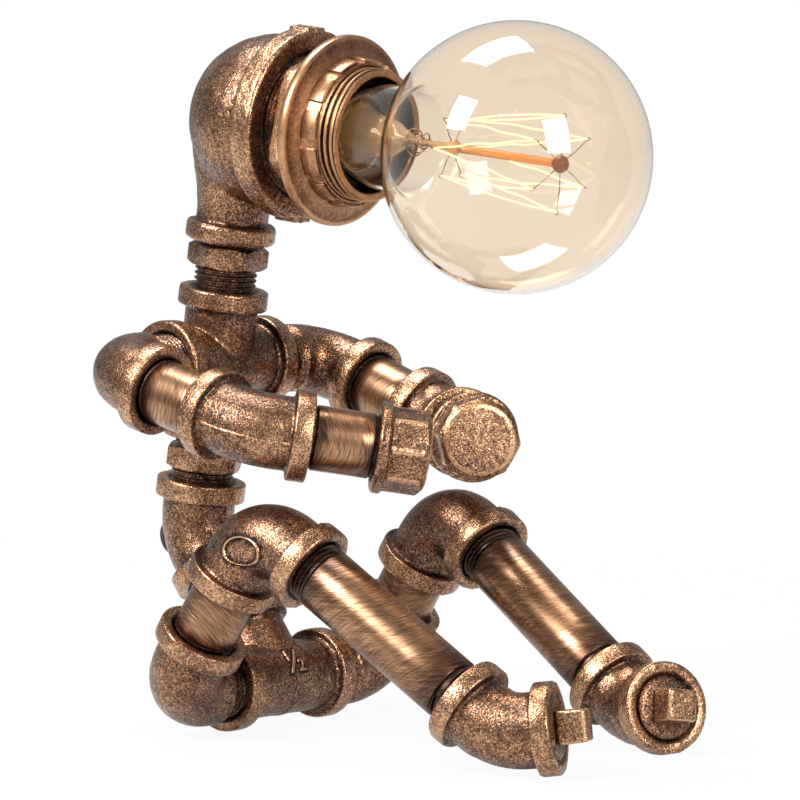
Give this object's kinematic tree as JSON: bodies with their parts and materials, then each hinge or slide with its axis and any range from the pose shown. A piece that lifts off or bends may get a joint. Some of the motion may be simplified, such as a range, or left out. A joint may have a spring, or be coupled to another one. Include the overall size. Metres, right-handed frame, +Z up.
{
  "type": "robot shaped desk lamp",
  "caption": "Desk lamp shaped like a seated robot, made of threaded pipe fittings in antique bronze, with a bare globe bulb held ahead of its head.",
  "frame": {"origin": "middle of the bounding box's base, on the surface that the figure sits on", "axes": "+Z up, the figure faces -Y, its right hand is on the -X side"},
  "size_m": [0.1346, 0.2069, 0.2362],
  "materials": {
    "bronze_casting": "pitted antique bronze paint over a cast fitting, rubbed bright on the bands",
    "bronze_pipe": "antique bronze lacquer, brushed round the pipe",
    "bronze_sheet": "antique bronze, satin",
    "black_rubber": "matt",
    "white_ceramic": "unglazed",
    "brass": "bright",
    "steel": "plain",
    "black_glass": "moulded",
    "amber_glass": "clear with an amber tint",
    "filament": "glows when lit"
  },
  "bodies": {
    "pelvis": {"pelvis_tee": "bronze_casting", "torso_nipple": "bronze_pipe", "torso_elbow": "bronze_casting", "cable_bushing": "black_rubber", "waist_nipple": "bronze_casting"},
    "chest": {"chest_cross": "bronze_casting", "neck_nipple": "bronze_casting"},
    "head": {"head_elbow": "bronze_casting", "mouth_bushing": "bronze_casting", "holder_skirt": "bronze_sheet", "holder_cap": "bronze_sheet", "holder_ceramic": "white_ceramic", "holder_screw_shell": "brass", "holder_contact": "brass", "terminal_screws": "steel"},
    "ring": {"ring_nut": "bronze_sheet"},
    "bulb": {"bulb_cap": "brass", "bulb_insulator": "black_glass", "bulb_tip": "steel", "bulb_globe": "amber_glass", "bulb_stem": "amber_glass", "bulb_supports": "steel", "bulb_filament": "filament"},
    "right_thigh": {"right_hip_elbow": "bronze_casting", "right_thigh_nipple": "bronze_pipe"},
    "right_shin": {"right_knee_elbow": "bronze_casting", "right_shin_pipe": "bronze_pipe"},
    "right_foot": {"right_foot_elbow": "bronze_casting", "right_toe_plug": "bronze_casting"},
    "right_upper_arm": {"right_shoulder_elbow": "bronze_casting", "right_upper_arm": "bronze_pipe"},
    "right_forearm": {"right_arm_elbow": "bronze_casting", "right_forearm": "bronze_pipe", "right_hand_cap": "bronze_casting"},
    "left_thigh": {"left_hip_elbow": "bronze_casting", "left_thigh_nipple": "bronze_pipe"},
    "left_shin": {"left_knee_elbow": "bronze_casting", "left_shin_pipe": "bronze_pipe"},
    "left_foot": {"left_foot_elbow": "bronze_casting", "left_toe_plug": "bronze_casting"},
    "left_upper_arm": {"left_shoulder_elbow": "bronze_casting", "left_upper_arm": "bronze_pipe"},
    "left_forearm": {"left_arm_elbow": "bronze_casting", "left_forearm": "bronze_pipe", "left_hand_cap": "bronze_casting"}
  },
  "joints": [
    {"name": "waist_turn", "type": "hinge", "parent": "pelvis", "child": "chest", "pos_m": [-0.00002, 0.08505, 0.09931], "axis": [0.0185, -0.1424, 0.9896], "range_deg": [-25, 25]},
    {"name": "neck_turn", "type": "hinge", "parent": "chest", "child": "head", "pos_m": [0.00122, 0.07551, 0.16562], "axis": [0.0185, -0.1424, 0.9896], "range_deg": [-45, 45]},
    {"name": "ring_turn", "type": "hinge", "parent": "head", "child": "ring", "pos_m": [0.00312, 0.02736, 0.19882], "axis": [0.0282, -0.9955, -0.0909], "continuous": true},
    {"name": "bulb_turn", "type": "hinge", "parent": "head", "child": "bulb", "pos_m": [0.00312, 0.02736, 0.19882], "axis": [0.0282, -0.9955, -0.0909], "continuous": true},
    {"name": "right_shoulder_turn", "type": "hinge", "parent": "chest", "child": "right_upper_arm", "pos_m": [-0.02014, 0.08223, 0.12], "axis": [-0.9998, 0.005, 0.0194], "range_deg": [-3, 25]},
    {"name": "right_elbow_turn", "type": "hinge", "parent": "right_upper_arm", "child": "right_forearm", "pos_m": [-0.05232, 0.03156, 0.10833], "axis": [-0.0094, -0.972, -0.2348], "range_deg": [-5, 45]},
    {"name": "left_shoulder_turn", "type": "hinge", "parent": "chest", "child": "left_upper_arm", "pos_m": [0.02085, 0.08203, 0.1192], "axis": [-0.9998, 0.005, 0.0194], "range_deg": [-3, 25]},
    {"name": "left_elbow_turn", "type": "hinge", "parent": "left_upper_arm", "child": "left_forearm", "pos_m": [0.05199, 0.03412, 0.10188], "axis": [0.0111, 0.9439, 0.3302], "range_deg": [-5, 45]},
    {"name": "right_hip_turn", "type": "hinge", "parent": "pelvis", "child": "right_thigh", "pos_m": [-0.02122, 0.05526, 0.015], "axis": [1, 0, 0], "range_deg": [-2, 45]},
    {"name": "right_knee_turn", "type": "hinge", "parent": "right_thigh", "child": "right_shin", "pos_m": [-0.04952, 0.02775, 0.05675], "axis": [0, 0.5502, -0.835], "range_deg": [-5, 30]},
    {"name": "right_ankle_turn", "type": "hinge", "parent": "right_shin", "child": "right_foot", "pos_m": [-0.03932, -0.06458, 0.02047], "axis": [-0.1045, 0.8305, 0.5472], "range_deg": [-30, 30]},
    {"name": "left_hip_turn", "type": "hinge", "parent": "pelvis", "child": "left_thigh", "pos_m": [0.01978, 0.05526, 0.015], "axis": [1, 0, 0], "range_deg": [-2, 45]},
    {"name": "left_knee_turn", "type": "hinge", "parent": "left_thigh", "child": "left_shin", "pos_m": [0.04808, 0.03088, 0.05353], "axis": [0, -0.5346, 0.8451], "range_deg": [-5, 30]},
    {"name": "left_ankle_turn", "type": "hinge", "parent": "left_shin", "child": "left_foot", "pos_m": [0.03568, -0.06189, 0.0191], "axis": [-0.1271, -0.8382, -0.5303], "range_deg": [-30, 30]}
  ]
}
